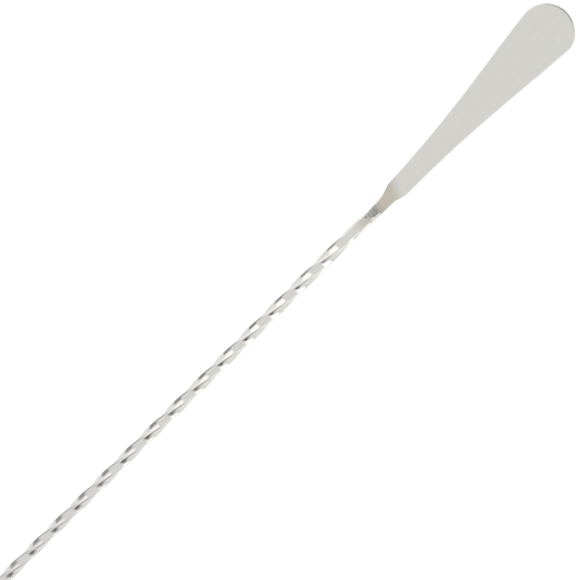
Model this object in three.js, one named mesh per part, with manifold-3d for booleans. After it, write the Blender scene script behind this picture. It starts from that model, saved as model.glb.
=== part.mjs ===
// Bar spoon, 12 in long, lying on its back: a flat blade at +X, a twisted square stem, a spoon bowl at -X.
// It is made of three stainless pieces and the two ground butt welds that join them.
// Millimetres, +Z up. The blade lies flat on Z = 0 and the bottom of the bowl touches the same plane.

import * as THREE from "three";
import { mergeVertices } from "three/addons/utils/BufferGeometryUtils.js";
import Module from "manifold-3d";

const wasm = await Module();
wasm.setup();

// ---- Driving dimensions ----

const overallLength = 304.8;
const bladeTipX = overallLength / 2;
const bowlTipX = -overallLength / 2;

// Sheet that the blade and the bowl are stamped from.
const sheet = 1.2;
const sheetEdgeRadius = 0.3;

// Blade: a short tang, a shoulder, then a leaf that widens to a round end. Its two edges differ: on the
// right, towards -Y, the shoulder starts later, the leaf is a little wider and the round end is fuller.
const bladeLength = 74.7;
const bladeEndRadius = 7.55;
const shoulderLength = 5;
const tangHalfWidth = 1.8;
const tangTipHalfWidth = 1.64;
const leftEdge = { tangLength: 2.65, leafStartHalfWidth: 2.93, flankRise: 0.36, fullness: 0 };
const rightEdge = { tangLength: 3.65, leafStartHalfWidth: 3, flankRise: 0.55, fullness: 0.04 };
const fullerTo = THREE.MathUtils.degToRad(55); // How far round the end the fuller stretch goes.
const fullerSkew = 0.7; // Below 1, the fullest point is nearer the flank.
const lastAngle = THREE.MathUtils.degToRad(84); // The round end closes with a narrow flat.
const bladeLean = THREE.MathUtils.degToRad(1.75); // The blade points slightly to +Y of the stem's line.
const bladeOffsetY = -0.3; // The tang sits slightly to -Y of the stem's line.

// Stem: square bar with rounded corners, twisted right-handed.
const barSide = 3.1;
const barCornerRadius = 0.6;
const quarterTurn = 11.15; // Length of stem per quarter turn of twist.
const quarterTurns = 14;
const stemLength = 177.3;
const stemStraight = 9.4; // Bar between the blade weld and the first full-rate section.
const neckTurn = THREE.MathUtils.degToRad(8); // The bar settles a little turned at the blade.
const neckSettle = 2.6; // How far the twist takes to die out there.
const runOut = 6; // Length over which it dies out at the bowl, where the bar ends square.
const axisHeightAtBlade = 1.7;
const axisHeightAtBowl = 7.4;

// Welds. The one at the blade is ground down to a slope, and the tang carries on from it down to the sheet.
const weldLength = 4.4;
const grindStart = 0.9; // From the end of the bar to the start of the slope.
const grindEnd = 4.1; // From the end of the bar to the end of the slope.
const grindSlope = Math.tan(THREE.MathUtils.degToRad(20));
const grindSkew = 0.75; // How much sooner the slope starts for each millimetre towards +Y.
const tangFall = 10; // Length over which the tang thins to the sheet.
const sideGrindDepth = 0.38; // The +Y side of the bar is ground in this far at its end.
const sideGrindReach = 4.2; // How far back along the bar that starts.

// Bowl: egg-shaped in plan, arched in section.
const bowlLength = 41.4;
const bowlHalfWidth = 13.5;
const bowlEgg = 0.1; // Share by which the heel half is fuller than the tip half.
const bowlDepth = 8;
const rimWidth = 1.3;
const rimSlope = THREE.MathUtils.degToRad(58);
const bowlTangFlare = 5.5; // Half-width of the tang where it meets the bowl.
const bowlTangReach = 3; // How far the tang runs in under the rim before it is trimmed.
const mouthCut = 3; // How far above the rim the hollow is cut away.

// Mesh fineness.
const cornerSegments = 2;
const stemSteps = 156;
const leafSteps = 16;
const tipSteps = 10;
const shoulderSteps = 8;
const tangSteps = 3;
const bowlSegments = 40;
const dishRings = 9;
const dishFloorShare = 0.06; // Size of the flat at the bottom of a dish, as a share of its rim.
const bowlTangSteps = 8;
const weldSteps = 6;

// ---- Shared shapes ----

// Points of a rounded rectangle, counter-clockwise, starting on the right side.
function roundedRect(width, height, radius) {
  const outline = new THREE.Path();
  const x = width / 2 - radius;
  const y = height / 2 - radius;
  const points = [];
  for (const [cx, cy, start] of [[x, y, 0], [-x, y, 1], [-x, -y, 2], [x, -y, 3]]) {
    for (let i = 0; i <= cornerSegments; i++) {
      const a = (start + i / cornerSegments) * (Math.PI / 2);
      points.push(new THREE.Vector2(cx + radius * Math.cos(a), cy + radius * Math.sin(a)));
    }
  }
  outline.setFromPoints(points);
  return outline.getPoints();
}

// A closed solid through rings of 3-D points that all have the same count, with a flat cap at each end.
function loft(rings) {
  const count = rings[0].length;
  const positions = rings.flat().flatMap((p) => [p.x, p.y, p.z]);
  const index = [];
  for (let i = 0; i < rings.length - 1; i++) {
    for (let j = 0; j < count; j++) {
      const a = i * count + j;
      const b = i * count + ((j + 1) % count);
      index.push(a, b, a + count, b, b + count, a + count);
    }
  }
  const last = (rings.length - 1) * count;
  for (let j = 1; j < count - 1; j++) {
    index.push(0, j + 1, j, last, last + j, last + j + 1);
  }
  const geometry = new THREE.BufferGeometry();
  geometry.setAttribute("position", new THREE.Float32BufferAttribute(positions, 3));
  geometry.setIndex(index);
  geometry.computeVertexNormals();
  return geometry;
}

// A section in the YZ plane at x: its 2-D x runs along Y and its 2-D y along Z.
function ringAt(x, section, centreZ = 0) {
  return section.map((p) => new THREE.Vector3(x, p.x, centreZ + p.y));
}

function toSolid(geometry) {
  const bare = geometry.clone();
  bare.deleteAttribute("normal");
  bare.deleteAttribute("uv");
  const merged = mergeVertices(bare, 1e-4);
  return new wasm.Manifold(
    new wasm.Mesh({
      numProp: 3,
      vertProperties: new Float32Array(merged.attributes.position.array),
      triVerts: new Uint32Array(merged.index.array),
    }),
  );
}

function toGeometry(solid) {
  const mesh = solid.getMesh();
  const geometry = new THREE.BufferGeometry();
  geometry.setAttribute("position", new THREE.BufferAttribute(mesh.vertProperties, 3));
  geometry.setIndex(new THREE.BufferAttribute(mesh.triVerts, 1));
  geometry.computeVertexNormals();
  return geometry;
}

const polishedSteel = { color: 0xcfcfcb, roughness: 0.12, metalness: 1 };
const groundSteel = { color: 0xc6c3bc, roughness: 0.28, metalness: 1 };

function steelMesh(name, geometry, look) {
  const mesh = new THREE.Mesh(geometry, new THREE.MeshStandardMaterial(look));
  mesh.name = name;
  return mesh;
}

// ---- Blade ----

// The blade's own frame starts at the end of its tang, with X along the blade.
const endCentre = bladeLength - bladeEndRadius;
const bladeStartX = bladeTipX - endCentre * Math.cos(bladeLean) - bladeEndRadius;
const bladePlace = new THREE.Matrix4().makeRotationZ(bladeLean).setPosition(bladeStartX, bladeOffsetY, 0);
const stemStartX = bladeStartX - weldLength;
const barTop = axisHeightAtBlade + (barSide / 2) * Math.cos(neckTurn);

// Flank of the leaf: a curve that leaves the shoulder nearly parallel and runs on into the end circle.
const flankSlope = 0.072;
const flankEase = 26.7; // Reach of the curve's first handle.
const flankReach = 15.9; // Reach of its second handle, back from the end circle.
const flankReachSlope = 0.083;
const flankTurn = Math.atan(flankSlope);
const flankEnd = new THREE.Vector2(
  endCentre - bladeEndRadius * Math.sin(flankTurn),
  bladeEndRadius * Math.cos(flankTurn),
);

function bladeFlank(edge) {
  const leafStart = edge.tangLength + shoulderLength;
  return new THREE.CubicBezierCurve(
    new THREE.Vector2(leafStart, edge.leafStartHalfWidth),
    new THREE.Vector2(leafStart + flankEase, edge.leafStartHalfWidth + edge.flankRise),
    new THREE.Vector2(flankEnd.x - flankReach, flankEnd.y - flankReach * flankReachSlope),
    flankEnd,
  );
}

// Points along one edge of the blade: distance from the tang's end, and distance out from the middle line.
function bladeEdge(edge) {
  const points = [];
  for (let i = 0; i < tangSteps; i++) {
    const t = i / tangSteps;
    const half = THREE.MathUtils.lerp(tangTipHalfWidth, tangHalfWidth, t);
    points.push(new THREE.Vector2(t * edge.tangLength, half));
  }
  for (let i = 0; i < shoulderSteps; i++) {
    const t = i / shoulderSteps;
    const widening = THREE.MathUtils.smoothstep(t, 0, 1);
    const half = THREE.MathUtils.lerp(tangHalfWidth, edge.leafStartHalfWidth, widening);
    points.push(new THREE.Vector2(edge.tangLength + t * shoulderLength, half));
  }
  points.push(...bladeFlank(edge).getPoints(leafSteps));
  for (let i = 1; i <= tipSteps; i++) {
    const a = THREE.MathUtils.lerp(-flankTurn, lastAngle, i / tipSteps);
    const around = Math.min((a + flankTurn) / (fullerTo + flankTurn), 1);
    const bulge = Math.sin(Math.PI * around ** fullerSkew) ** 2;
    const radius = bladeEndRadius * (1 + edge.fullness * bulge);
    points.push(new THREE.Vector2(endCentre + radius * Math.sin(a), radius * Math.cos(a)));
  }
  return points;
}

// Height of the slope ground across the blade weld, level beyond its end.
function slopeHeight(x, y) {
  const fall = Math.min(x - stemStartX, grindEnd) - grindStart;
  const skew = grindSkew * THREE.MathUtils.clamp(y, -barSide / 2, barSide / 2);
  return barTop - grindSlope * (fall + skew);
}

// Height of the top of the blade: it carries on from the slope and comes down to the sheet.
function bladeTop(x, y) {
  const t = THREE.MathUtils.clamp((x - bladeStartX) / tangFall, 0, 1);
  const share = (t + THREE.MathUtils.smoothstep(t, 0, 1)) / 2;
  return THREE.MathUtils.lerp(slopeHeight(x, y), sheet, share);
}

// Section of the blade in the spoon's frame, from a point of its right edge to one of its left edge.
// The underside is flat on the table, and the upper half of the section is lifted to the top.
function bladeRing(left, right) {
  const width = left.y + right.y;
  return roundedRect(width, sheet, sheetEdgeRadius).map((corner) => {
    const x = THREE.MathUtils.lerp(right.x, left.x, corner.x / width + 0.5);
    const y = corner.x + (left.y - right.y) / 2;
    const p = new THREE.Vector3(x, y, sheet / 2 + corner.y).applyMatrix4(bladePlace);
    if (corner.y > 0) p.z += bladeTop(p.x, p.y) - sheet;
    return p;
  });
}

function makeBlade() {
  const left = bladeEdge(leftEdge);
  const right = bladeEdge(rightEdge);
  return steelMesh("blade", loft(left.map((p, i) => bladeRing(p, right[i]))), polishedSteel);
}

// ---- Stem ----

// Twist of the section at a distance along the stem from its blade end, in radians.
function twistAt(distance) {
  const rate = Math.PI / 2 / quarterTurn;
  const runOutStart = quarterTurns * quarterTurn - runOut / 2;
  const d = distance - stemStraight;
  if (d < 0) {
    const fading = Math.exp(-((d / neckSettle) ** 2));
    return THREE.MathUtils.lerp(neckTurn, -rate * d, fading);
  }
  if (d <= runOutStart) return -rate * d;
  const share = Math.min((d - runOutStart) / runOut, 1);
  return -rate * (runOutStart + runOut * (share - (share * share) / 2));
}

// Section of the stem in the spoon's frame at a distance from its blade end. The bar rises to the bowl.
const stemRise = Math.asin((axisHeightAtBowl - axisHeightAtBlade) / stemLength);
const stemPlace = new THREE.Matrix4().makeRotationY(stemRise).setPosition(stemStartX, 0, axisHeightAtBlade);

function stemRing(distance) {
  const ring = ringAt(-distance, roundedRect(barSide, barSide, barCornerRadius));
  const turn = new THREE.Matrix4().makeRotationX(twistAt(distance));
  const nearEnd = THREE.MathUtils.smoothstep(sideGrindReach - distance, 0, sideGrindReach);
  for (const p of ring) {
    p.applyMatrix4(turn).applyMatrix4(stemPlace);
    p.y -= sideGrindDepth * nearEnd * THREE.MathUtils.smoothstep(p.y, 0, barSide / 2);
  }
  return ring;
}

function makeStem() {
  const rings = [];
  for (let i = 0; i <= stemSteps; i++) {
    rings.push(stemRing((stemLength * (stemSteps - i)) / stemSteps));
  }
  return steelMesh("stem", loft(rings), polishedSteel);
}

// ---- Welds ----

function blendRings(from, to, share) {
  return from.map((p, j) => p.clone().lerp(to[j], share));
}

// The bar and the tang carried on into each other at the bar's height, with the ground slope cutting the top.
function makeBladeWeld(barRing, tangRing) {
  const stretch = barTop / bladeTop(bladeStartX, 0);
  const tallTang = tangRing.map((p) => new THREE.Vector3(p.x, p.y, p.z * stretch));
  const rings = [];
  for (let i = 0; i < weldSteps; i++) {
    const ring = blendRings(barRing, tallTang, i / weldSteps);
    for (const p of ring) {
      p.z = Math.min(p.z, slopeHeight(p.x, p.y));
    }
    rings.push(ring);
  }
  rings.push(tangRing);
  return steelMesh("blade_weld", loft(rings), groundSteel);
}

// A taper from the bowl's tang up to the bar, level where it meets each of them.
function makeBowlWeld(tangRing, barRing) {
  const rings = [];
  for (let i = 0; i <= weldSteps; i++) {
    const t = i / weldSteps;
    const ring = blendRings(tangRing, barRing, t);
    for (const [j, p] of ring.entries()) {
      p.z = THREE.MathUtils.lerp(tangRing[j].z, barRing[j].z, THREE.MathUtils.smoothstep(t, 0, 1));
    }
    rings.push(ring);
  }
  return steelMesh("bowl_weld", loft(rings), groundSteel);
}

// ---- Bowl ----

const bowlCentreX = bowlTipX + bowlLength / 2;
const heelX = bowlTipX + bowlLength;

// Ring of a dish: share 0 is its lowest point and share 1 its rim.
function dishRing(halfLength, halfWidth, depth, share) {
  const arch = (f) => 1 - Math.sqrt(1 - (f * Math.sin(rimSlope)) ** 2);
  const z = bowlDepth - depth * (1 - arch(share) / arch(1));
  const ring = [];
  for (let j = 0; j < bowlSegments; j++) {
    const a = (2 * Math.PI * j) / bowlSegments;
    const egg = 1 + bowlEgg * Math.cos(a);
    ring.push(
      new THREE.Vector3(
        bowlCentreX + share * halfLength * Math.cos(a),
        share * halfWidth * Math.sin(a) * egg,
        z,
      ),
    );
  }
  return ring;
}

function dish(halfLength, halfWidth, depth, lidHeight) {
  const rings = [];
  for (let i = 0; i <= dishRings; i++) {
    const share = THREE.MathUtils.lerp(dishFloorShare, 1, i / dishRings);
    rings.push(dishRing(halfLength, halfWidth, depth, share));
  }
  if (lidHeight > 0) {
    rings.push(rings.at(-1).map((p) => new THREE.Vector3(p.x, p.y, p.z + lidHeight)));
  }
  return toSolid(loft(rings));
}

function bowlTangRing(x, halfWidth) {
  const section = roundedRect(2 * halfWidth, sheet, sheetEdgeRadius);
  return ringAt(x, section, axisHeightAtBowl);
}

function makeBowl(tangEndX) {
  const outside = dish(bowlLength / 2, bowlHalfWidth, bowlDepth, 0);
  const inside = dish(bowlLength / 2 - rimWidth, bowlHalfWidth - rimWidth, bowlDepth - sheet, mouthCut);
  const rings = [];
  const innerX = heelX - bowlTangReach;
  for (let i = 0; i <= bowlTangSteps; i++) {
    const t = i / bowlTangSteps;
    const half = THREE.MathUtils.lerp(bowlTangFlare, tangTipHalfWidth, Math.sqrt(1 - (1 - t) ** 2));
    rings.push(bowlTangRing(THREE.MathUtils.lerp(innerX, tangEndX, t), half));
  }
  const tang = toSolid(loft(rings));
  const solid = outside.add(tang).subtract(inside);
  return steelMesh("bowl", toGeometry(solid), polishedSteel);
}

// ---- Assembly ----

const tangCorner = new THREE.Vector2(0, tangTipHalfWidth);
const bladeTangEnd = bladeRing(tangCorner, tangCorner);
const stemBladeEnd = stemRing(0);
const stemBowlEnd = stemRing(stemLength);
const bowlTangEndX = stemBowlEnd[0].x - weldLength;
// The bar reaches the bowl after three and a half turns, so its section there starts half a turn round.
const bowlTangEnd = bowlTangRing(bowlTangEndX, tangTipHalfWidth);
const halfRound = bowlTangEnd.length / 2;
const bowlTangEndTurned = bowlTangEnd.slice(halfRound).concat(bowlTangEnd.slice(0, halfRound));

const spoon = new THREE.Group();
spoon.add(makeBlade());
spoon.add(makeStem());
spoon.add(makeBowl(bowlTangEndX));
spoon.add(makeBladeWeld(stemBladeEnd, bladeTangEnd));
spoon.add(makeBowlWeld(bowlTangEndTurned, stemBowlEnd));

export default spoon;
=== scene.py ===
"""A stainless bar spoon lying on its back on a pale studio table.

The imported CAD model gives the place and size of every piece. This script replaces each CAD solid with a fine
mesh of the same piece, gives the steel its polish, and sets up the table, the light and the camera.
Lengths are written in millimetres and turned into metres by MM.
"""

import math

import bmesh
import bpy
import numpy as np
from mathutils import Matrix, Vector


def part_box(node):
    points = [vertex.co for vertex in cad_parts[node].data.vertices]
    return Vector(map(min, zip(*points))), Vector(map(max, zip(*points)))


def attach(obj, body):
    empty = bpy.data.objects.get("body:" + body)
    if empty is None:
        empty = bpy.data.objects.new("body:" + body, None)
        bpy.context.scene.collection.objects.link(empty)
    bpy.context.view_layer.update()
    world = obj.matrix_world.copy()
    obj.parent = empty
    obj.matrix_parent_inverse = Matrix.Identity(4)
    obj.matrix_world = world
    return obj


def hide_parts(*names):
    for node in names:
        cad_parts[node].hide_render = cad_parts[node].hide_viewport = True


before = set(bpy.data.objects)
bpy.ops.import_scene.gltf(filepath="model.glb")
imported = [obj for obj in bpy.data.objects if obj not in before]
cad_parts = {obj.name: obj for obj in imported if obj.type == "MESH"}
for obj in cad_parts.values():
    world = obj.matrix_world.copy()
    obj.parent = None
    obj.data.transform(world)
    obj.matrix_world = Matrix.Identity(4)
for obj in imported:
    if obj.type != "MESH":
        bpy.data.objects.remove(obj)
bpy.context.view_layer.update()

MM = 0.001

# ---- Places along the spoon, read from the CAD model ----

BLADE_TIP_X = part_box("blade")[1].x / MM
BOWL_EDGE_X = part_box("bowl")[0].x / MM
BOWL_TANG_END_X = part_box("bowl_weld")[0].x / MM

# ---- Driving dimensions, in millimetres, as in the CAD model ----

# Sheet that the blade and the bowl are stamped from, and how its edges are rounded, in plan and in height.
SHEET = 1.2
EDGE_REACH = 0.3
EDGE_RISE = 0.3

# Blade. Its two edges differ: right is the one towards -Y.
BLADE_LENGTH = 74.7
BLADE_END_RADIUS = 7.55
SHOULDER_LENGTH = 5.0
TANG_HALF_WIDTH = 1.8
TANG_TIP_HALF_WIDTH = 1.64
TANG_FALL = 10.0
TANG_EASE = 0.5
SIDE_TANG_LENGTHS = {"left": 2.65, "right": 3.65}
SIDE_LEAF_STARTS = {"left": 2.93, "right": 3.0}
SIDE_FLANK_RISES = {"left": 0.36, "right": 0.55}
SIDE_FULLNESS = {"left": 0.0, "right": 0.04}
FULLER_TO = math.radians(55)
FULLER_SKEW = 0.7
BLADE_LEAN = math.radians(1.75)
BLADE_OFFSET_Y = -0.3
FLANK_SLOPE = 0.072
FLANK_EASE = 26.7
FLANK_REACH = 15.9
FLANK_REACH_SLOPE = 0.083
END_CENTRE = BLADE_LENGTH - BLADE_END_RADIUS
BLADE_START_X = BLADE_TIP_X - END_CENTRE * math.cos(BLADE_LEAN) - BLADE_END_RADIUS

# Stem: a square bar, twisted like a right-hand screw, that rises to the bowl.
BAR_SIDE = 3.1
BAR_CORNER = 0.6
QUARTER_TURN = 11.15
QUARTER_TURNS = 14
NECK_TURN = math.radians(8)
NECK_SETTLE = 2.6
RUN_OUT = 6.0
STEM_LENGTH = 177.3
STEM_STRAIGHT = 9.4
AXIS_HEIGHT_AT_BLADE = 1.7
AXIS_HEIGHT_AT_BOWL = 7.4
STEM_RISE = math.asin((AXIS_HEIGHT_AT_BOWL - AXIS_HEIGHT_AT_BLADE) / STEM_LENGTH)
BAR_TOP = AXIS_HEIGHT_AT_BLADE + BAR_SIDE / 2 * math.cos(NECK_TURN)

# Welds. The one at the blade is ground down to a slope, and the bar's +Y side is ground in beside it.
WELD_LENGTH = 4.4
STEM_START_X = BLADE_START_X - WELD_LENGTH
GRIND_START = 0.9
GRIND_END = 4.1
GRIND_START_X = STEM_START_X + GRIND_START
GRIND_END_X = STEM_START_X + GRIND_END
GRIND_SLOPE = math.tan(math.radians(20))
GRIND_SKEW = 0.75
PINCH_DEPTH = 0.38
PINCH_REACH = 4.2

# Bowl: egg-shaped in plan, arched in section, with a heel that runs out into its tang. The rim is steep, so
# its underside stands out past the outline, by the overhang at the tip.
BOWL_LENGTH = 41.4
BOWL_HALF_WIDTH = 13.25
BOWL_EGG = 0.1
RIM_SLOPE = math.radians(58)
RIM_OVERHANG = 0.2
BOWL_TIP_X = BOWL_EDGE_X + RIM_OVERHANG
HEEL = BOWL_TANG_END_X - BOWL_TIP_X - BOWL_LENGTH

# ---- Fine shapes that the CAD model leaves out, in millimetres ----

# Lines left by the grinding, and how the slope's edges are softened.
GRIND_ROUNDING = 0.12
RIPPLE_HEIGHT = 0.016
RIPPLE_LENGTH = 0.95

# Bevel along the bar's -Y edge. It is flatter at the end of the bar and on the weld, and rolls over to its
# full slope between two distances back along the bar. At its ends it narrows to nothing over two tapers.
BEVEL_SLOPE = math.tan(math.radians(27))
BEVEL_SLOPE_AT_WELD = math.tan(math.radians(15.5))
BEVEL_ROLL = (3.5, 7.5)
BEVEL_WIDTH = 0.58
BEVEL_REACH = 10.5
BEVEL_START_X = STEM_START_X - BEVEL_REACH
BEVEL_END_X = BLADE_START_X
BEVEL_TAPER = (2.5, 1.2)
BEVEL_ROUNDING = 0.04

# The bar's upper +Y corner is sharper up to the first distance from its end, and as usual past the second.
NECK_EDGE = 0.15
NECK_EDGE_REACH = (8.5, 13.0)

# How the bowl's tang flares into its rim, and how the dish blends into the tang. The dish is carried on past
# its rim, up to a share of its size, for the metal that stands out there.
FLARE_START = 0.3
FLARE_REACH = 2.0
FLARE_JOIN = math.radians(24)
HEEL_BLEND = 8.0
HEEL_FILLET = 3.0
RIM_FILLET = 0.1
PAST_RIM = 1.12

# Mesh fineness.
CORNER_STEPS = 8
TANG_STEPS = 12
SHOULDER_STEPS = 28
FLANK_STEPS = 80
ROUND_END_STEPS = 56
STEM_STEPS = 620
WELD_STEPS = 60
FLARE_STEPS = 24
RIM_STEPS = 110
MERGE_DISTANCE = 0.001
HALF_FLAT_SHARES = np.array([0.1, 0.3, 0.45, 0.6, 0.7, 0.8, 0.9, 0.97])
FLAT_SHARES = np.concatenate([-HALF_FLAT_SHARES[::-1], HALF_FLAT_SHARES])

# ---- Steel ----

# Places on a piece are in millimetres of its lay. On the blade and the bowl its X runs from the end of the
# tang. On the stem it is minus the distance from the blade's weld. On the welds it is the spoon's own X.

STEEL = (0.545, 0.54, 0.515, 1)
SMEARED_STEEL = (0.505, 0.5, 0.475, 1)
HEAT_TINT = (0.445, 0.408, 0.36, 1)
# Painted shade: a darker colour laid where the blade weld meets the tang.
PAINTED_JOINT_SHADE = (0.345, 0.32, 0.29, 1)

# How tight each pattern is along, across and up the piece, and how deep or dull it is.
LINE_SCALE = (0.12, 5.0, 5.0)
SCRATCH_SCALE = (0.5, 14.0, 14.0)
SMEAR_SCALE = (0.25, 0.6, 0.6)
SCRATCH_DEPTH = 0.5
RELIEF_STRENGTH = 0.05
RELIEF = 0.02
LINE_ROUGHNESS = 0.03
# A low and a high value of the noise, and what they turn into. For the scratches that is 0 and 1.
SCRATCH_CUT = (0.66, 0.72)
SMEAR_ROUGHNESS = (0.3, 0.75, -0.03, 0.06)
SMEAR_SHADE = (0.25, 0.8, 0.0, 0.12)

BLADE_ROUGHNESS = 0.16
STEM_ROUGHNESS = 0.12
BOWL_ROUGHNESS = 0.12
WELD_ROUGHNESS = 0.2
# Where along the stem the polish starts to get duller, where it is dullest, and how much is added there.
STEM_DULL_END = (-20.0, -150.0, 0.1)

# Each pair is where along the piece a tint is full and where it is gone. A share is its most.
BLADE_TINT = (4.8, 9.4)
BLADE_TINT_LEAN = 0.6
# The next pair and its share place painted shade, a darker colour, at the blade's joint and over the first
# millimetres of the tang.
BLADE_PAINTED_SHADE = (-0.3, 2.4)
BLADE_PAINTED_SHADE_SHARE = 0.7
STEM_TINT_AT_BLADE = (0.3, -5.2)
STEM_TINT_SHARE = 0.9
STEM_TINT_AT_BOWL = (2.0 - STEM_LENGTH, 5.0 - STEM_LENGTH)
BOWL_TINT = (2.0, 6.0)
BOWL_WELD_SHARE = 0.7
# Most of the painted shade on the weld's narrow strip by the tang.
WELD_PAINTED_SHADE_SHARE = 0.75
GROUND_LINE = (GRIND_START_X - 0.1, GRIND_START_X + 0.4)
GROUND_END = (GRIND_END_X, GRIND_END_X - 0.1)

# The same across the bevels, which have no tint, then up the stem's side and down the weld's from its top.
STEM_BEVEL_EDGE = (-0.85, -1.0)
WELD_BEVEL_EDGE = (-0.85, -1.1)
STEM_SIDE = (0.9, 1.2)
WELD_SIDE = (0.7, 0.45)

# ---- Studio ----

WHITE = (1.0, 1.0, 0.995)
TENT_STRENGTH = 1.2

# Parts of the light tent: centre and half size as degrees from straight up, first towards the blade and then
# towards +Y, then the turn of the patch, the softness of its edge and its strength.
TENT_PATCHES = {
    "tent_mouth": ((23, 7), (15, 27), 0, 3, 0.38),
    "far_gap": ((60, 0), (26, 34), 0, 8, 0.25),
    "left_gap": ((-55, 60), (23, 22), 0, 5, 0.42),
    "left_slit": ((-36, 52), (7, 17), 0, 4, 0.4),
    "right_gap": ((-44, -51), (10, 20), -50, 6, 0.1),
    "left_lamp": ((0, 59), (28, 23), 0, 4, 1.85),
    "right_lamp": ((0, -51), (23, 19), 0, 4, 2.1),
}

TABLE_HALF = 3000.0
TABLE_COLOR = (0.95, 0.95, 0.945, 1)
TABLE_ROUGHNESS = 0.9
TABLE_GLOW = 0.3

SENSOR_WIDTH = 36
LENS = 113.9
CLIP_END = 10000.0
CAMERA_TILT = math.radians(22)
CAMERA_ROLL = math.radians(44.79)
CAMERA_DISTANCE = 521.0
CAMERA_TARGET = (BLADE_TIP_X - 110.03, 1.06, 3.5)


# ---- Small helpers ----

def smoothstep(t):
    t = np.clip(t, 0.0, 1.0)
    return t * t * (3 - 2 * t)


def lerp(a, b, t):
    return a + (b - a) * t


def smooth_min(a, b, reach):
    """The lower of a and b, with the corner between them rounded over reach."""
    blend = np.clip(0.5 + 0.5 * (b - a) / reach, 0.0, 1.0)
    return lerp(b, a, blend) - reach * blend * (1 - blend)


def bezier(points, t):
    p0, p1, p2, p3 = (np.array(p, float) for p in points)
    t = t[:, None]
    return (1 - t) ** 3 * p0 + 3 * (1 - t) ** 2 * t * p1 + 3 * (1 - t) * t**2 * p2 + t**3 * p3


def outward_normals(outline):
    """Normals of an edge that runs along the piece and ends on its middle line."""
    along = np.gradient(outline, axis=0)
    along /= np.linalg.norm(along, axis=1)[:, None]
    normals = np.stack([-along[:, 1], along[:, 0]], axis=1)
    normals[-1] = (1, 0)
    return normals


def loft_mesh(name, rings, lay, cap_end=True):
    """A closed mesh through rings of points in millimetres.

    lay is each point's place along and across the piece, in millimetres too. The steel's patterns follow it.
    """
    count, size = rings.shape[:2]
    faces = [tuple(reversed(range(size)))]
    for i in range(count - 1):
        a, b = i * size, (i + 1) * size
        for j in range(size):
            k = (j + 1) % size
            faces.append((a + j, a + k, b + k, b + j))
    if cap_end:
        faces.append(tuple(range((count - 1) * size, count * size)))
    mesh = bpy.data.meshes.new(name)
    mesh.from_pydata((rings.reshape(-1, 3) * MM).tolist(), [], faces)
    attribute = mesh.attributes.new("lay", "FLOAT_VECTOR", "POINT")
    attribute.data.foreach_set("vector", lay.reshape(-1).astype(np.float32))
    made = bmesh.new()
    made.from_mesh(mesh)
    bmesh.ops.remove_doubles(made, verts=made.verts, dist=MERGE_DISTANCE * MM)
    for face in made.faces:
        face.smooth = len(face.verts) <= 4
        if not face.smooth:
            for edge in face.edges:
                edge.smooth = False
    made.to_mesh(mesh)
    made.free()
    return mesh


def add_piece(name, mesh, node, material):
    """Shows a mesh in place of a CAD node."""
    piece = bpy.data.objects.new(name, mesh)
    bpy.context.scene.collection.objects.link(piece)
    mesh.materials.append(material)
    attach(piece, "root")
    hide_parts(node)


# ---- Sections ----

def section_template():
    """Where each point of a rounded rectangle sits, counter-clockwise seen from +X.

    The rows are the share of the inner half-width, how many corner radii past it, and the same two upwards.
    Flats have more points beside the corners, so that smooth shading stays on the corners.
    """
    flat = FLAT_SHARES
    one, none = np.ones(flat.size), np.zeros(flat.size)
    angle = np.linspace(0, math.pi / 2, CORNER_STEPS + 1)
    full, cos, sin = np.ones(angle.size), np.cos(angle), np.sin(angle)
    parts = [
        (one, one, flat, none),
        (full, cos, full, sin),
        (-flat, none, one, one),
        (-full, -sin, full, cos),
        (-one, -one, -flat, none),
        (-full, -cos, -full, -sin),
        (flat, none, -one, -one),
        (full, sin, -full, -cos),
    ]
    return np.hstack([np.array(part) for part in parts])


SHARE, OUT, LIFT_SHARE, LIFT_OUT = section_template()


def section(half_width, low, high, corner):
    """Y and Z of a rounded rectangle's points, with Z running from low to high.

    corner is one radius, or one for each point.
    """
    half_height = (high - low) / 2
    y = SHARE * (half_width - corner) + OUT * corner
    z = (low + high) / 2 + LIFT_SHARE * (half_height - corner) + LIFT_OUT * corner
    return y, z


# ---- Stem ----

def twist_at(distance):
    """Twist in radians at a distance along the stem from its blade end.

    The bar swings past square and settles a little turned at the blade, and ends square at the bowl.
    """
    rate = math.pi / 2 / QUARTER_TURN
    run_out_start = QUARTER_TURNS * QUARTER_TURN - RUN_OUT / 2
    d = distance - STEM_STRAIGHT
    if d < 0:
        fading = math.exp(-((d / NECK_SETTLE) ** 2))
        return lerp(NECK_TURN, -rate * d, fading)
    if d <= run_out_start:
        return -rate * d
    share = min((d - run_out_start) / RUN_OUT, 1.0)
    return -rate * (run_out_start + RUN_OUT * (share - share * share / 2))


def ground_slope(x, y):
    """Height of the slope ground across the end of the bar, which is level past its end.

    The bar comes in a little turned and the slope leans the other way, so they meet along a diagonal line.
    """
    ripple = RIPPLE_HEIGHT * np.sin(2 * math.pi * (x - GRIND_START_X) / RIPPLE_LENGTH)
    fall = np.minimum(x, GRIND_END_X) - GRIND_START_X + GRIND_SKEW * np.clip(y, -BAR_SIDE / 2, BAR_SIDE / 2)
    return BAR_TOP - GRIND_SLOPE * fall + np.where(x < GRIND_END_X, ripple, 0)


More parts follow.
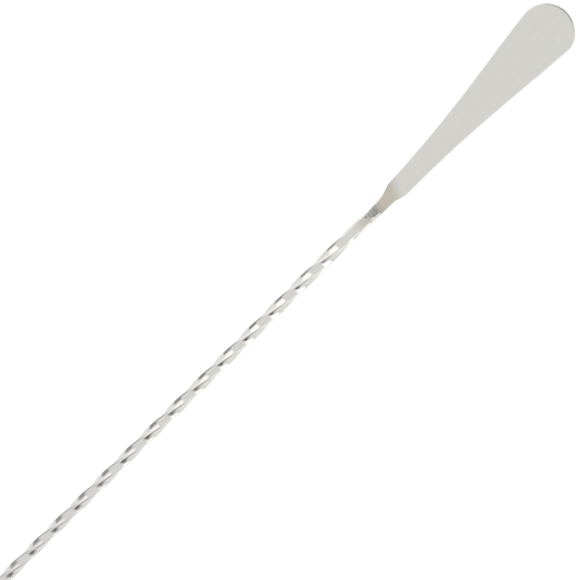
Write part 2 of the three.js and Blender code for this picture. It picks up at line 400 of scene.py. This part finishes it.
def ground_down(ring, turn):
    """Grinds the end of the bar: its +Y side, the slope down to the tang, and a bevel along the -Y edge."""
    x, y, z = ring.T
    near = 1 - np.abs(x - STEM_START_X) / PINCH_REACH
    y = y - PINCH_DEPTH * smoothstep(near) * smoothstep(y / (BAR_SIDE / 2))
    z = smooth_min(z, ground_slope(x, y), GRIND_ROUNDING)
    into = np.minimum((x - BEVEL_START_X) / BEVEL_TAPER[0], (BEVEL_END_X - x) / BEVEL_TAPER[1])
    edge = BEVEL_WIDTH * smoothstep(into) - BAR_SIDE / 2
    axis_height = AXIS_HEIGHT_AT_BLADE + (STEM_START_X - x) * math.tan(STEM_RISE)
    bar_face = axis_height + BAR_SIDE / 2 / math.cos(turn) + edge * math.tan(turn)
    roll = smoothstep((STEM_START_X - x - BEVEL_ROLL[0]) / (BEVEL_ROLL[1] - BEVEL_ROLL[0]))
    rolled = lerp(BEVEL_SLOPE_AT_WELD, BEVEL_SLOPE, roll)
    bevel = np.minimum(bar_face, ground_slope(x, edge)) - rolled * (edge - y)
    z = np.where(y < 0, smooth_min(z, bevel, BEVEL_ROUNDING), z)
    return np.stack([x, y, z], axis=1)


def tang_top(x, y):
    """Height of the top of the blade: it carries on from the slope, and falls and levels out to the leaf."""
    t = np.clip((x - BLADE_START_X) / TANG_FALL, 0, 1)
    share = lerp(t, smoothstep(t), TANG_EASE)
    return lerp(ground_slope(x, y), SHEET, share)


def stem_ring(distance):
    """Section of the stem in the spoon's frame, and the same section before it was twisted."""
    half = BAR_SIDE / 2
    axis_height = AXIS_HEIGHT_AT_BLADE + distance * math.sin(STEM_RISE)
    near, far = NECK_EDGE_REACH
    corner = np.full(SHARE.size, BAR_CORNER)
    neck = 1 - smoothstep((distance - near) / (far - near))
    corner[(SHARE > 0) & (LIFT_SHARE > 0)] = lerp(BAR_CORNER, NECK_EDGE, neck)
    y, z = section(half, -half, half, corner)
    turn = twist_at(distance)
    turned_y = y * math.cos(turn) - z * math.sin(turn)
    turned_z = y * math.sin(turn) + z * math.cos(turn)
    ring = np.stack(
        [
            STEM_START_X - distance * math.cos(STEM_RISE) + turned_z * math.sin(STEM_RISE),
            turned_y,
            axis_height + turned_z * math.cos(STEM_RISE),
        ],
        axis=1,
    )
    lay = np.stack([np.full(y.size, -distance), y, z], axis=1)
    return ring, lay


def make_stem(material):
    rings, lays = [], []
    for distance in np.linspace(STEM_LENGTH, 0, STEM_STEPS):
        ring, lay = stem_ring(distance)
        if distance < BEVEL_REACH:
            ring = ground_down(ring, twist_at(distance))
        rings.append(ring)
        lays.append(lay)
    mesh = loft_mesh("stem_bar", np.array(rings), np.array(lays))
    add_piece("stem_bar", mesh, "stem", material)


# ---- Blade ----

def blade_outline(side):
    """Points along one edge of the blade, from its tang to the middle of its round end, and their normals.

    Y is the distance out from the middle line. The two edges differ: on the right, towards -Y, the shoulder
    starts later and the round end is fuller.
    """
    tang_length = SIDE_TANG_LENGTHS[side]
    leaf_start = tang_length + SHOULDER_LENGTH
    tang_x = np.linspace(0, tang_length, TANG_STEPS, endpoint=False)
    tang = np.stack([tang_x, lerp(TANG_TIP_HALF_WIDTH, TANG_HALF_WIDTH, tang_x / tang_length)], axis=1)
    t = np.linspace(0, 1, SHOULDER_STEPS, endpoint=False)
    leaf_start_half = SIDE_LEAF_STARTS[side]
    widening = lerp(TANG_HALF_WIDTH, leaf_start_half, smoothstep(t))
    shoulder = np.stack([tang_length + t * SHOULDER_LENGTH, widening], axis=1)
    lean = math.atan(FLANK_SLOPE)
    flank_end = np.array([END_CENTRE, 0]) + BLADE_END_RADIUS * np.array([-math.sin(lean), math.cos(lean)])
    flank = bezier(
        [
            (leaf_start, leaf_start_half),
            (leaf_start + FLANK_EASE, leaf_start_half + SIDE_FLANK_RISES[side]),
            flank_end - FLANK_REACH * np.array([1, FLANK_REACH_SLOPE]),
            flank_end,
        ],
        np.linspace(0, 1, FLANK_STEPS, endpoint=False),
    )
    angle = np.linspace(-lean, math.pi / 2, ROUND_END_STEPS)
    around = np.clip((angle + lean) / (FULLER_TO + lean), 0, 1)
    fuller = 1 + SIDE_FULLNESS[side] * np.sin(math.pi * around**FULLER_SKEW) ** 2
    spokes = np.stack([np.sin(angle), np.cos(angle)], axis=1)
    round_end = np.array([END_CENTRE, 0]) + BLADE_END_RADIUS * fuller[:, None] * spokes
    outline = np.vstack([tang, shoulder, flank, round_end])
    return outline, outward_normals(outline)


def place_blade(x, y):
    cos, sin = math.cos(BLADE_LEAN), math.sin(BLADE_LEAN)
    return BLADE_START_X + x * cos - y * sin, BLADE_OFFSET_Y + x * sin + y * cos


def blade_rings():
    """Sections across the blade in the spoon's frame, and the same sections in the blade's own frame."""
    left_points, left_normals = blade_outline("left")
    right_points, right_normals = blade_outline("right")
    left = (left_points - EDGE_REACH * left_normals)[:, None, :]
    right = (right_points - EDGE_REACH * right_normals)[:, None, :]
    normals = np.where((SHARE > 0)[:, None], left_normals[:, None, :], right_normals[:, None, :])
    share = (1 + SHARE) / 2
    x = lerp(right[..., 0], left[..., 0], share) + np.abs(OUT) * EDGE_REACH * normals[..., 0]
    y = lerp(-right[..., 1], left[..., 1], share) + OUT * EDGE_REACH * normals[..., 1]
    placed_x, placed_y = place_blade(x, y)
    high = tang_top(placed_x, placed_y)
    z = high / 2 + LIFT_SHARE * (high / 2 - EDGE_RISE) + LIFT_OUT * EDGE_RISE
    return np.stack([placed_x, placed_y, z], axis=-1), np.stack([x, y, z], axis=-1)


def make_blade(material):
    rings, lays = blade_rings()
    mesh = loft_mesh("blade_leaf", rings, lays, cap_end=False)
    add_piece("blade_leaf", mesh, "blade", material)


# ---- Welds ----

def make_blade_weld(material):
    """The metal between the bar and the tang: both carried on into each other and cut by the slope."""
    bar, _ = stem_ring(0)
    tang = blade_rings()[0][0]
    tall = tang.copy()
    tall[:, 2] *= bar[:, 2].max() / tang[:, 2].max()
    rings = []
    for t in np.linspace(0, 1, WELD_STEPS):
        rings.append(ground_down(lerp(bar, tall, t), NECK_TURN))
    rings[-1] = tang
    rings = np.array(rings)
    mesh = loft_mesh("blade_weld_bead", rings, rings)
    add_piece("blade_weld_bead", mesh, "blade_weld", material)


def make_bowl_weld(material):
    """A taper from the bowl's tang up to the bar, which has turned half round by then."""
    bar, _ = stem_ring(STEM_LENGTH)
    bar = np.roll(bar, bar.shape[0] // 2, axis=0)
    low, high = AXIS_HEIGHT_AT_BOWL - SHEET / 2, AXIS_HEIGHT_AT_BOWL + SHEET / 2
    y, z = section(TANG_TIP_HALF_WIDTH, low, high, EDGE_RISE)
    tang = np.stack([np.full(y.size, BOWL_TANG_END_X), y, z], axis=1)
    rings = []
    for t in np.linspace(0, 1, WELD_STEPS):
        ring = lerp(tang, bar, t)
        ring[:, 2] = lerp(tang[:, 2], bar[:, 2], smoothstep(t))
        rings.append(ring)
    rings = np.array(rings)
    mesh = loft_mesh("bowl_weld_bead", rings, rings)
    add_piece("bowl_weld_bead", mesh, "bowl_weld", material)


# ---- Bowl ----

def bowl_outline():
    """Points along one edge of the bowl, from its tang to the middle of its tip, and their normals.

    X here runs from the end of the tang towards the tip.
    """
    def egg(a):
        x = HEEL + BOWL_LENGTH / 2 * (1 - np.cos(a))
        y = BOWL_HALF_WIDTH * np.sin(a) * (1 + BOWL_EGG * np.cos(a))
        return np.stack([x, y], axis=-1)

    join_point = egg(FLARE_JOIN)
    step = 0.001
    join_along = egg(FLARE_JOIN + step) - egg(FLARE_JOIN - step)
    join_along /= np.linalg.norm(join_along)
    tang = np.array([[0.0, TANG_TIP_HALF_WIDTH]])
    flare = bezier(
        [
            (FLARE_START, TANG_TIP_HALF_WIDTH),
            (FLARE_START + FLARE_REACH, TANG_TIP_HALF_WIDTH),
            join_point - FLARE_REACH * join_along,
            join_point,
        ],
        np.linspace(0, 1, FLARE_STEPS, endpoint=False),
    )
    rim = egg(np.linspace(FLARE_JOIN, math.pi, RIM_STEPS))
    outline = np.vstack([tang, flare, rim])
    return outline, outward_normals(outline)


def bowl_height(x, y):
    """Height of the middle of the sheet: a dish that levels out at its rim and into the tang."""
    p = (HEEL + BOWL_LENGTH / 2 - x) / (BOWL_LENGTH / 2)
    q = y / BOWL_HALF_WIDTH
    share = np.hypot(p, q)
    for _ in range(4):
        fuller = 1 + BOWL_EGG * p / np.maximum(share, 1e-6)
        share = np.hypot(p, q / fuller)

    def arch(f):
        return 1 - np.sqrt(1 - (np.minimum(f, PAST_RIM) * math.sin(RIM_SLOPE)) ** 2)

    floor = SHEET / 2
    dish = floor + (AXIS_HEIGHT_AT_BOWL - floor) * arch(share) / arch(1.0)
    heel = 1 - smoothstep((x - HEEL) / HEEL_BLEND)
    return smooth_min(dish, AXIS_HEIGHT_AT_BOWL, lerp(RIM_FILLET, HEEL_FILLET, heel))


def bowl_normal(x, y):
    step = 0.01
    slope_x = (bowl_height(x + step, y) - bowl_height(x - step, y)) / (2 * step)
    slope_y = (bowl_height(x, y + step) - bowl_height(x, y - step)) / (2 * step)
    normal = np.stack([-slope_x, -slope_y, np.ones_like(slope_x)], axis=-1)
    return normal / np.linalg.norm(normal, axis=-1, keepdims=True)


def bowl_ring(point, normal):
    """Section of the bowl's sheet across the spoon, at one point of its outline."""
    inset = point - EDGE_REACH * normal
    x = np.full(SHARE.size, inset[0])
    y = SHARE * inset[1]
    middle = np.stack([x, y, bowl_height(x, y)], axis=1)
    up = bowl_normal(x, y)
    outward = np.stack([np.full(x.size, normal[0]), np.sign(SHARE) * normal[1], np.zeros(x.size)], axis=1)
    outward -= np.sum(outward * up, axis=1)[:, None] * up
    outward /= np.linalg.norm(outward, axis=1)[:, None]
    lift = LIFT_SHARE * (SHEET / 2 - EDGE_RISE) + LIFT_OUT * EDGE_RISE
    return middle + up * lift[:, None] + outward * (np.abs(OUT) * EDGE_REACH)[:, None]


def make_bowl(material):
    points, normals = bowl_outline()
    rings = np.array([bowl_ring(p, n) for p, n in zip(points, normals)])
    lay = rings.copy()
    rings[:, :, 0] = BOWL_TANG_END_X - rings[:, :, 0]
    rings[:, :, 1] *= -1
    mesh = loft_mesh("bowl_dish", rings, lay, cap_end=False)
    add_piece("bowl_dish", mesh, "bowl", material)


# ---- Materials ----

class Nodes:
    """A node tree with short calls for the few nodes that the materials and the studio need."""

    def __init__(self, tree):
        self.tree = tree

    def add(self, kind, inputs=None, **settings):
        node = self.tree.nodes.new("ShaderNode" + kind)
        for name, value in settings.items():
            setattr(node, name, value)
        for socket, value in (inputs or {}).items():
            self.set(node.inputs[socket], value)
        return node

    def set(self, socket, value):
        if isinstance(value, bpy.types.NodeSocket):
            self.tree.links.new(value, socket)
        else:
            socket.default_value = value

    def math(self, operation, *values):
        inputs = dict(enumerate(values))
        return self.add("Math", inputs, operation=operation).outputs[0]

    def noise(self, vector, scale, detail, roughness):
        """Noise that is as tight along each axis as scale says."""
        scaled = self.add("VectorMath", {0: vector, 1: scale}, operation="MULTIPLY").outputs[0]
        inputs = {"Vector": scaled, "Scale": 1.0, "Detail": detail, "Roughness": roughness}
        return self.add("TexNoise", inputs).outputs["Fac"]

    def remap(self, value, low, high, to_low=0.0, to_high=1.0):
        """value from low..high to to_low..to_high, eased and held at the ends."""
        inputs = {"Value": value, "From Min": low, "From Max": high, "To Min": to_low, "To Max": to_high}
        return self.add("MapRange", inputs, interpolation_type="SMOOTHSTEP").outputs["Result"]

    def mix(self, share, a, b):
        node = self.add("Mix", {"Factor": share}, data_type="RGBA")
        self.set(node.inputs[6], a)
        self.set(node.inputs[7], b)
        return node.outputs[2]

    def bump(self, height, strength, distance):
        inputs = {"Height": height, "Strength": strength, "Distance": distance}
        return self.add("Bump", inputs).outputs[0]


def steel(name, roughness, tint_share, painted_shade_share=None, dull_end=None):
    """Polished stainless: fine lines along the piece, hair scratches, dull smears, heat tint near a weld, and
    painted shade where the blade meets its weld.

    tint_share is a function from Nodes and the three lay coordinates to the share of the heat tint. The
    argument after it does the same for the share of painted shade, a darker colour laid over it at the blade's
    joint. dull_end is as STEM_DULL_END.
    """
    material = bpy.data.materials.new(name)
    material.use_nodes = True
    nodes = Nodes(material.node_tree)
    shader = material.node_tree.nodes["Principled BSDF"]
    lay = nodes.add("Attribute", attribute_name="lay").outputs["Vector"]
    axes = nodes.add("SeparateXYZ", {0: lay}).outputs
    lines = nodes.noise(lay, LINE_SCALE, detail=3.0, roughness=0.6)
    scratches = nodes.noise(lay, SCRATCH_SCALE, detail=1.0, roughness=0.5)
    scratches = nodes.remap(scratches, *SCRATCH_CUT)
    smears = nodes.noise(lay, SMEAR_SCALE, detail=4.0, roughness=0.6)
    height = nodes.math("SUBTRACT", lines, nodes.math("MULTIPLY", scratches, SCRATCH_DEPTH))
    normal = nodes.bump(height, RELIEF_STRENGTH, RELIEF * MM)
    rough = nodes.math("ADD", nodes.remap(smears, *SMEAR_ROUGHNESS), roughness)
    rough = nodes.math("ADD", rough, nodes.math("MULTIPLY", lines, LINE_ROUGHNESS))
    if dull_end:
        start, end, extra = dull_end
        rough = nodes.math("ADD", rough, nodes.remap(axes[0], end, start, extra, 0.0))
    shade = nodes.remap(smears, *SMEAR_SHADE)
    color = nodes.mix(shade, STEEL, SMEARED_STEEL)
    color = nodes.mix(tint_share(nodes, axes), color, HEAT_TINT)
    # Painted shade at the joint with the weld, as a darker colour over the steel.
    if painted_shade_share:
        color = nodes.mix(painted_shade_share(nodes, axes), color, PAINTED_JOINT_SHADE)
    nodes.set(shader.inputs["Base Color"], color)
    nodes.set(shader.inputs["Roughness"], rough)
    nodes.set(shader.inputs["Normal"], normal)
    shader.inputs["Metallic"].default_value = 1
    return material


def fade(nodes, value, ends, share=1.0):
    """From share at the first of two places to none at the second."""
    full, none = ends
    if full < none:
        return nodes.remap(value, full, none, share, 0.0)
    return nodes.remap(value, none, full, 0.0, share)


def blade_tint(nodes, axes):
    """Strongest at the tang, and gone by the start of the leaf, a little sooner on the -Y side."""
    edge = nodes.math("SUBTRACT", axes[0], nodes.math("MULTIPLY", axes[1], BLADE_TINT_LEAN))
    return fade(nodes, edge, BLADE_TINT)


def blade_painted_shade(nodes, axes):
    """Painted shade at the joint with the weld, fading out over the first few millimetres of the tang."""
    return fade(nodes, axes[0], BLADE_PAINTED_SHADE, BLADE_PAINTED_SHADE_SHARE)


def stem_tint(nodes, axes):
    """A short tint at both ends of the bar, but none on the bevel."""
    off_bevel = nodes.math(
        "MAXIMUM",
        fade(nodes, axes[1], STEM_BEVEL_EDGE),
        fade(nodes, axes[2], STEM_SIDE),
    )
    near_blade = fade(nodes, axes[0], STEM_TINT_AT_BLADE, STEM_TINT_SHARE)
    near_bowl = fade(nodes, axes[0], STEM_TINT_AT_BOWL)
    return nodes.math("ADD", nodes.math("MULTIPLY", near_blade, off_bevel), near_bowl)


def bowl_tint(nodes, axes):
    return fade(nodes, axes[0], BOWL_TINT)


def bowl_weld_tint(nodes, axes):
    """Tinted all along, and a little less towards the bar."""
    return nodes.remap(axes[0], BOWL_TANG_END_X, BOWL_TANG_END_X + WELD_LENGTH, 1.0, BOWL_WELD_SHARE)


def blade_weld_tint(nodes, axes):
    """Tinted on the sides, and on top up to the diagonal line where the bright ground slope starts."""
    skewed = nodes.math("ADD", axes[0], axes[1])
    before = fade(nodes, skewed, GROUND_LINE)
    after = fade(nodes, axes[0], GROUND_END)
    off_bevel = fade(nodes, axes[1], WELD_BEVEL_EDGE)
    top = nodes.math("MULTIPLY", nodes.math("ADD", before, after), off_bevel)
    along = nodes.math("SUBTRACT", axes[0], GRIND_START_X)
    reach = nodes.math("ADD", along, nodes.math("MULTIPLY", axes[1], GRIND_SKEW))
    slope = nodes.math("SUBTRACT", BAR_TOP, nodes.math("MULTIPLY", reach, GRIND_SLOPE))
    side = fade(nodes, nodes.math("SUBTRACT", slope, axes[2]), WELD_SIDE)
    return nodes.math("MAXIMUM", top, side)


def blade_weld_painted_shade(nodes, axes):
    """Painted shade on the narrow strip between the ground slope and the tang, where the two meet."""
    return fade(nodes, axes[0], GROUND_END, WELD_PAINTED_SHADE_SHARE)


# ---- Table, light and camera ----

def make_floor():
    """The pale table that the spoon lies on."""
    half = TABLE_HALF * MM
    corners = [(-half, -half, 0), (half, -half, 0), (half, half, 0), (-half, half, 0)]
    mesh = bpy.data.meshes.new("table")
    mesh.from_pydata(corners, [], [(0, 1, 2, 3)])
    floor = bpy.data.objects.new("table", mesh)
    bpy.context.scene.collection.objects.link(floor)
    material = bpy.data.materials.new("table_white")
    material.use_nodes = True
    shader = material.node_tree.nodes["Principled BSDF"]
    shader.inputs["Base Color"].default_value = TABLE_COLOR
    shader.inputs["Roughness"].default_value = TABLE_ROUGHNESS
    shader.inputs["Emission Color"].default_value = (1, 1, 1, 1)
    shader.inputs["Emission Strength"].default_value = TABLE_GLOW
    mesh.materials.append(material)


def make_tent():
    """A white light tent as the world: an open mouth, gaps that show the room, and two lamps behind it."""
    world = bpy.data.worlds.new("light_tent")
    world.use_nodes = True
    bpy.context.scene.world = world
    nodes = Nodes(world.node_tree)
    direction = nodes.add("TexCoord").outputs["Generated"]
    x, y, z = nodes.add("SeparateXYZ", {0: direction}).outputs
    from_up = nodes.math("DEGREES", nodes.math("ARCCOSINE", z))
    level = nodes.math("SQRT", nodes.math("ADD", nodes.math("MULTIPLY", x, x), nodes.math("MULTIPLY", y, y)))
    per_level = nodes.math("DIVIDE", from_up, nodes.math("MAXIMUM", level, 0.001))
    to_blade = nodes.math("MULTIPLY", x, per_level)
    to_left = nodes.math("MULTIPLY", y, per_level)
    light = tuple(TENT_STRENGTH * c for c in WHITE) + (1,)
    for centre, half, turn, soft, strength in TENT_PATCHES.values():
        a = nodes.math("SUBTRACT", to_blade, centre[0])
        b = nodes.math("SUBTRACT", to_left, centre[1])
        cos, sin = math.cos(math.radians(turn)), math.sin(math.radians(turn))
        across = nodes.math("ADD", nodes.math("MULTIPLY", a, cos), nodes.math("MULTIPLY", b, sin))
        along = nodes.math("SUBTRACT", nodes.math("MULTIPLY", b, cos), nodes.math("MULTIPLY", a, sin))
        share = nodes.math(
            "MULTIPLY",
            nodes.remap(nodes.math("ABSOLUTE", across), half[0] - soft, half[0] + soft, 1.0, 0.0),
            nodes.remap(nodes.math("ABSOLUTE", along), half[1] - soft, half[1] + soft, 1.0, 0.0),
        )
        light = nodes.mix(share, light, tuple(strength * c for c in WHITE) + (1,))
    nodes.set(world.node_tree.nodes["Background"].inputs["Color"], light)


def make_camera():
    """Looks down on the spoon from the blade's end, rolled so that the spoon runs up to the right."""
    data = bpy.data.cameras.new("camera")
    data.sensor_width = SENSOR_WIDTH
    data.lens = LENS
    data.clip_end = CLIP_END * MM
    camera = bpy.data.objects.new("camera", data)
    bpy.context.scene.collection.objects.link(camera)
    back = Vector((math.sin(CAMERA_TILT), 0, math.cos(CAMERA_TILT)))
    along = Vector((math.cos(CAMERA_TILT), 0, -math.sin(CAMERA_TILT)))
    across = Vector((0, -1, 0))
    right = math.cos(CAMERA_ROLL) * along + math.sin(CAMERA_ROLL) * across
    up = math.sin(CAMERA_ROLL) * along - math.cos(CAMERA_ROLL) * across
    place = Matrix((right, up, back)).transposed().to_4x4()
    place.translation = (Vector(CAMERA_TARGET) + back * CAMERA_DISTANCE) * MM
    camera.matrix_world = place
    bpy.context.scene.camera = camera


# ---- The spoon and its studio ----

make_blade(steel("blade_polish", BLADE_ROUGHNESS, blade_tint, blade_painted_shade))
make_stem(steel("stem_polish", STEM_ROUGHNESS, stem_tint, dull_end=STEM_DULL_END))
make_bowl(steel("bowl_polish", BOWL_ROUGHNESS, bowl_tint))
make_blade_weld(steel("blade_weld_steel", WELD_ROUGHNESS, blade_weld_tint, blade_weld_painted_shade))
make_bowl_weld(steel("bowl_weld_steel", WELD_ROUGHNESS, bowl_weld_tint))
make_floor()
make_tent()
make_camera()
bpy.context.scene.view_settings.view_transform = "Standard"
